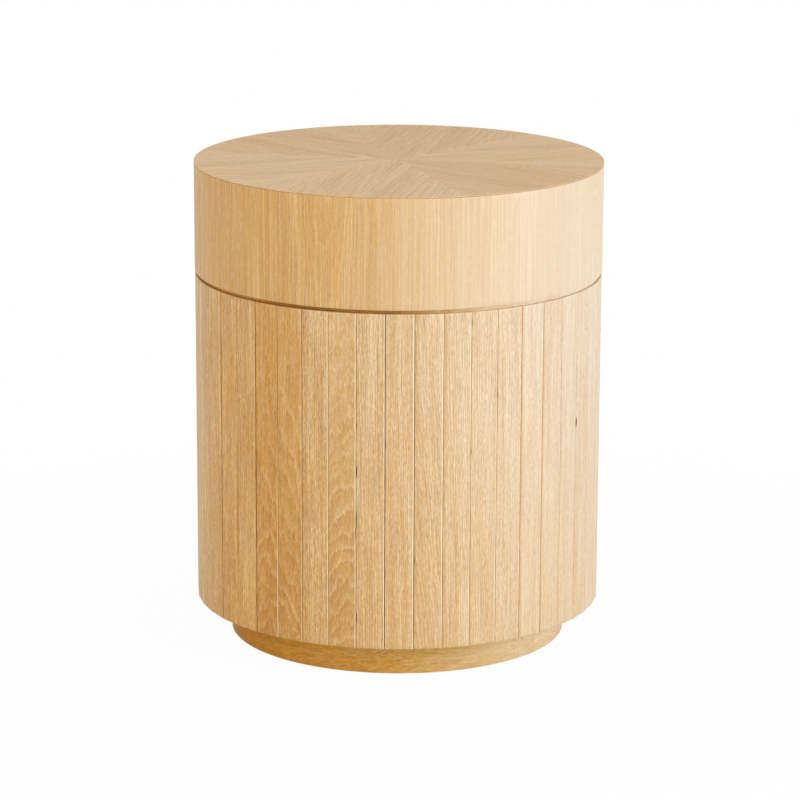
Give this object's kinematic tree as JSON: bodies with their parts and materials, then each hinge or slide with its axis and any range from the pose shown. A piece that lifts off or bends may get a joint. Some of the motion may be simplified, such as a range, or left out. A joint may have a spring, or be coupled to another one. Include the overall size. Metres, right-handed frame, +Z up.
{
  "type": "side table",
  "caption": "Round oak drum side table: smooth veneered cap with a sunburst top, a shadow groove, a body of upright flat staves and a set-back round plinth.",
  "frame": {"origin": "middle of the floor under the table, at the flat undersides of the glides", "axes": "+Z up along the table's upright axis, front towards -Y, +X to the right seen from the front"},
  "size_m": [0.5588, 0.5588, 0.6604],
  "materials": {
    "sunburst_oak": "matte lacquered oak veneer",
    "apron_oak": "matte lacquered oak veneer",
    "stave_oak": "matte lacquered solid oak",
    "plinth_oak": "matte lacquered oak veneer",
    "groove_oak": "matte lacquered oak",
    "core_board": "raw fibreboard",
    "bent_ply": "raw bent plywood",
    "block_wood": "raw hardwood",
    "screw_steel": "zinc plated",
    "glide_nylon": "moulded nylon"
  },
  "bodies": {
    "root": {"top_veneer": "sunburst_oak", "apron_veneer": "apron_oak", "spacer_disc": "groove_oak", "plinth_veneer": "plinth_oak", "top_panel": "core_board", "cap_floor": "core_board", "drum_top_panel": "core_board", "drum_base_panel": "core_board", "apron_hoop": "bent_ply", "plinth_hoop": "bent_ply", "plinth_blocks": "block_wood", "cap_screws": "screw_steel", "plinth_screws": "screw_steel", "glides": "glide_nylon", "stave_01": "stave_oak", "stave_02": "stave_oak", "stave_03": "stave_oak", "stave_04": "stave_oak", "stave_05": "stave_oak", "stave_06": "stave_oak", "stave_07": "stave_oak", "stave_08": "stave_oak", "stave_09": "stave_oak", "stave_10": "stave_oak", "stave_11": "stave_oak", "stave_12": "stave_oak", "stave_13": "stave_oak", "stave_14": "stave_oak", "stave_15": "stave_oak", "stave_16": "stave_oak", "stave_17": "stave_oak", "stave_18": "stave_oak", "stave_19": "stave_oak", "stave_20": "stave_oak", "stave_21": "stave_oak", "stave_22": "stave_oak", "stave_23": "stave_oak", "stave_24": "stave_oak", "stave_25": "stave_oak", "stave_26": "stave_oak", "stave_27": "stave_oak", "stave_28": "stave_oak", "stave_29": "stave_oak", "stave_30": "stave_oak", "stave_31": "stave_oak", "stave_32": "stave_oak", "stave_33": "stave_oak", "stave_34": "stave_oak", "stave_35": "stave_oak", "stave_36": "stave_oak", "stave_37": "stave_oak", "stave_38": "stave_oak", "stave_39": "stave_oak", "stave_40": "stave_oak", "stave_41": "stave_oak", "stave_42": "stave_oak", "stave_43": "stave_oak", "stave_44": "stave_oak", "stave_45": "stave_oak", "stave_46": "stave_oak"}
  },
  "joints": []
}
